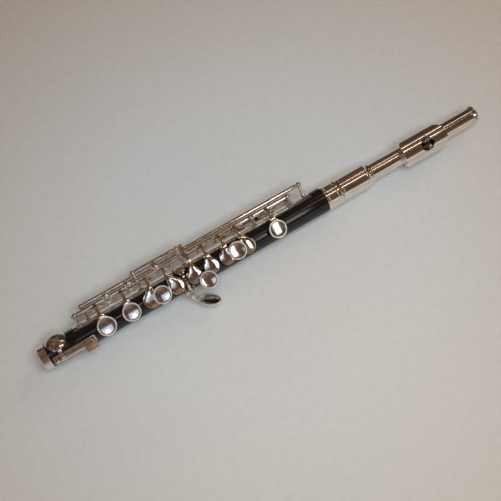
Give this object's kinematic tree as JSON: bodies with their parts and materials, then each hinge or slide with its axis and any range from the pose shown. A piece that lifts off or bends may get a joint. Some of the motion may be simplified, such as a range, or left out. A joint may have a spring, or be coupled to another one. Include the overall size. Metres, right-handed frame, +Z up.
{
  "type": "piccolo",
  "caption": "Piccolo with a black conical body, silver-plated hinged keys on rods and posts, and a silver-plated head joint with a lip plate.",
  "frame": {"origin": "centre of the bore at the foot end, on the end face of the black body", "axes": "+X along the bore from the foot to the crown, +Z up from the table it lies on, +Y towards the hinge rods, away from the player's left palm"},
  "size_m": [0.322, 0.0418, 0.0265],
  "materials": {
    "black_body": "polished black",
    "silver_plate": "polished silver plate",
    "steel": "ground",
    "spring_steel": "blued",
    "pad_skin": "smooth skin",
    "cork": "natural cork"
  },
  "bodies": {
    "body": {"body": "black_body", "foot_ring": "silver_plate", "receiver_ring": "silver_plate", "lower_rib": "silver_plate", "upper_rib": "silver_plate", "eflat_rib": "silver_plate", "main_posts": "silver_plate", "trill_posts": "silver_plate", "eflat_posts": "silver_plate", "gsharp_posts": "silver_plate", "thumb_posts": "silver_plate", "right_hand_steel": "steel", "left_hand_steel": "steel", "eflat_steel": "steel", "gsharp_steel": "steel", "thumb_steel": "steel", "needle_springs": "spring_steel"},
    "tenon_cork": {"tenon_cork": "cork"},
    "head_joint": {"head_socket": "silver_plate", "head_tube": "silver_plate", "embouchure_riser": "silver_plate", "lip_plate": "silver_plate"},
    "stopper": {"stopper_rod": "steel", "stopper_cork": "cork", "stopper_nut": "steel"},
    "crown": {"crown": "silver_plate"},
    "d_key": {"d_key": "silver_plate", "d_pad": "pad_skin"},
    "e_key": {"e_key": "silver_plate", "e_pad": "pad_skin"},
    "f_key": {"f_key": "silver_plate", "f_pad": "pad_skin"},
    "fsharp_key": {"fsharp_key": "silver_plate", "fsharp_pad": "pad_skin"},
    "g_key": {"g_key": "silver_plate", "g_pad": "pad_skin"},
    "a_key": {"a_key": "silver_plate", "a_pad": "pad_skin"},
    "bflat_key": {"bflat_key": "silver_plate", "bflat_pad": "pad_skin"},
    "c_key": {"c_key": "silver_plate", "c_pad": "pad_skin"},
    "low_g_key": {"low_g_key": "silver_plate", "low_g_pad": "pad_skin"},
    "upper_trill_key": {"upper_trill_key": "silver_plate", "upper_trill_pad": "pad_skin"},
    "lower_trill_key": {"lower_trill_key": "silver_plate", "lower_trill_pad": "pad_skin"},
    "eflat_key": {"eflat_key": "silver_plate", "eflat_pad": "pad_skin"},
    "gsharp_key": {"gsharp_key": "silver_plate", "gsharp_pad": "pad_skin"},
    "thumb_b_key": {"thumb_b_key": "silver_plate", "thumb_b_pad": "pad_skin"},
    "thumb_bflat_key": {"thumb_bflat_key": "silver_plate", "thumb_bflat_pad": "pad_skin"}
  },
  "joints": [
    {"name": "head_turn", "type": "hinge", "parent": "body", "child": "tenon_cork", "pos_m": [0.22, 0, 0], "axis": [1, 0, 0], "range_deg": [-45, 45]},
    {"name": "head_tuning_slide", "type": "slide", "parent": "tenon_cork", "child": "head_joint", "axis": [1, 0, 0], "range_m": [0, 0.008]},
    {"name": "crown_screw", "type": "hinge", "parent": "head_joint", "child": "crown", "pos_m": [0.318, 0, 0], "axis": [1, 0, 0], "range_deg": [-360, 360]},
    {"name": "stopper_travel", "type": "slide", "parent": "head_joint", "child": "stopper", "axis": [1, 0, 0], "range_m": [-0.0007, 0.0007]},
    {"name": "d_hinge", "type": "hinge", "parent": "body", "child": "d_key", "pos_m": [0.0429, 0.0105, 0.00962], "axis": [1, 0, 0], "range_deg": [0, 6], "stiffness_Nm_per_rad": 0.012, "springref_deg": -15},
    {"name": "e_hinge", "type": "hinge", "parent": "body", "child": "e_key", "pos_m": [0.0595, 0.0105, 0.00962], "axis": [1, 0, 0], "range_deg": [0, 6], "stiffness_Nm_per_rad": 0.012, "springref_deg": -15},
    {"name": "f_hinge", "type": "hinge", "parent": "body", "child": "f_key", "pos_m": [0.0736, 0.0105, 0.00962], "axis": [1, 0, 0], "range_deg": [0, 6], "stiffness_Nm_per_rad": 0.012, "springref_deg": -15},
    {"name": "fsharp_hinge", "type": "hinge", "parent": "body", "child": "fsharp_key", "pos_m": [0.0906, 0.0105, 0.00962], "axis": [1, 0, 0], "range_deg": [0, 6], "stiffness_Nm_per_rad": 0.012, "springref_deg": -15},
    {"name": "g_hinge", "type": "hinge", "parent": "body", "child": "g_key", "pos_m": [0.1153, 0.0105, 0.00962], "axis": [1, 0, 0], "range_deg": [0, 6], "stiffness_Nm_per_rad": 0.012, "springref_deg": -15},
    {"name": "a_hinge", "type": "hinge", "parent": "body", "child": "a_key", "pos_m": [0.1263, 0.0105, 0.00962], "axis": [1, 0, 0], "range_deg": [0, 6], "stiffness_Nm_per_rad": 0.012, "springref_deg": -15},
    {"name": "bflat_hinge", "type": "hinge", "parent": "body", "child": "bflat_key", "pos_m": [0.1416, 0.0105, 0.00962], "axis": [1, 0, 0], "range_deg": [0, 6], "stiffness_Nm_per_rad": 0.012, "springref_deg": -15},
    {"name": "c_hinge", "type": "hinge", "parent": "body", "child": "c_key", "pos_m": [0.1636, 0.0105, 0.00962], "axis": [1, 0, 0], "range_deg": [0, 6], "stiffness_Nm_per_rad": 0.012, "springref_deg": -15},
    {"name": "low_g_hinge", "type": "hinge", "parent": "body", "child": "low_g_key", "pos_m": [0.1033, 0.01523, 0.01223], "axis": [1, 0, 0], "range_deg": [0, 4.33], "stiffness_Nm_per_rad": 0.012, "springref_deg": -15},
    {"name": "upper_trill_hinge", "type": "hinge", "parent": "body", "child": "upper_trill_key", "pos_m": [0.1676, 0.01418, 0.00863], "axis": [1, 0, 0], "range_deg": [0, 6], "stiffness_Nm_per_rad": 0.012, "springref_deg": -15},
    {"name": "lower_trill_hinge", "type": "hinge", "parent": "body", "child": "lower_trill_key", "pos_m": [0.1788, 0.01418, 0.00863], "axis": [1, 0, 0], "range_deg": [0, 6], "stiffness_Nm_per_rad": 0.012, "springref_deg": -15},
    {"name": "eflat_hinge", "type": "hinge", "parent": "body", "child": "eflat_key", "pos_m": [0.012, -0.00815, 0.00614], "axis": [1, 0, 0], "range_deg": [0, 8], "stiffness_Nm_per_rad": 0.012, "springref_deg": -15},
    {"name": "gsharp_hinge", "type": "hinge", "parent": "body", "child": "gsharp_key", "pos_m": [0.0972, -0.01034, 0.00376], "axis": [1, 0, 0], "range_deg": [0, 7], "stiffness_Nm_per_rad": 0.012, "springref_deg": -15},
    {"name": "thumb_b_hinge", "type": "hinge", "parent": "body", "child": "thumb_b_key", "pos_m": [0.1464, 0.01221, 0.00215], "axis": [1, 0, 0], "range_deg": [-6, 0], "stiffness_Nm_per_rad": 0.012, "springref_deg": 15},
    {"name": "thumb_bflat_hinge", "type": "hinge", "parent": "body", "child": "thumb_bflat_key", "pos_m": [0.157, 0.01221, 0.00215], "axis": [1, 0, 0], "range_deg": [-6, 0], "stiffness_Nm_per_rad": 0.012, "springref_deg": 15}
  ],
  "couplings": [
    {"joint": "stopper_travel", "follows": "crown_screw", "m_per_rad": 0.00011141},
    {"joint": "low_g_hinge", "follows": "g_hinge", "ratio": 0.72165},
    {"joint": "bflat_hinge", "follows": "a_hinge", "ratio": 1},
    {"joint": "fsharp_hinge", "follows": "f_hinge", "ratio": 1}
  ]
}
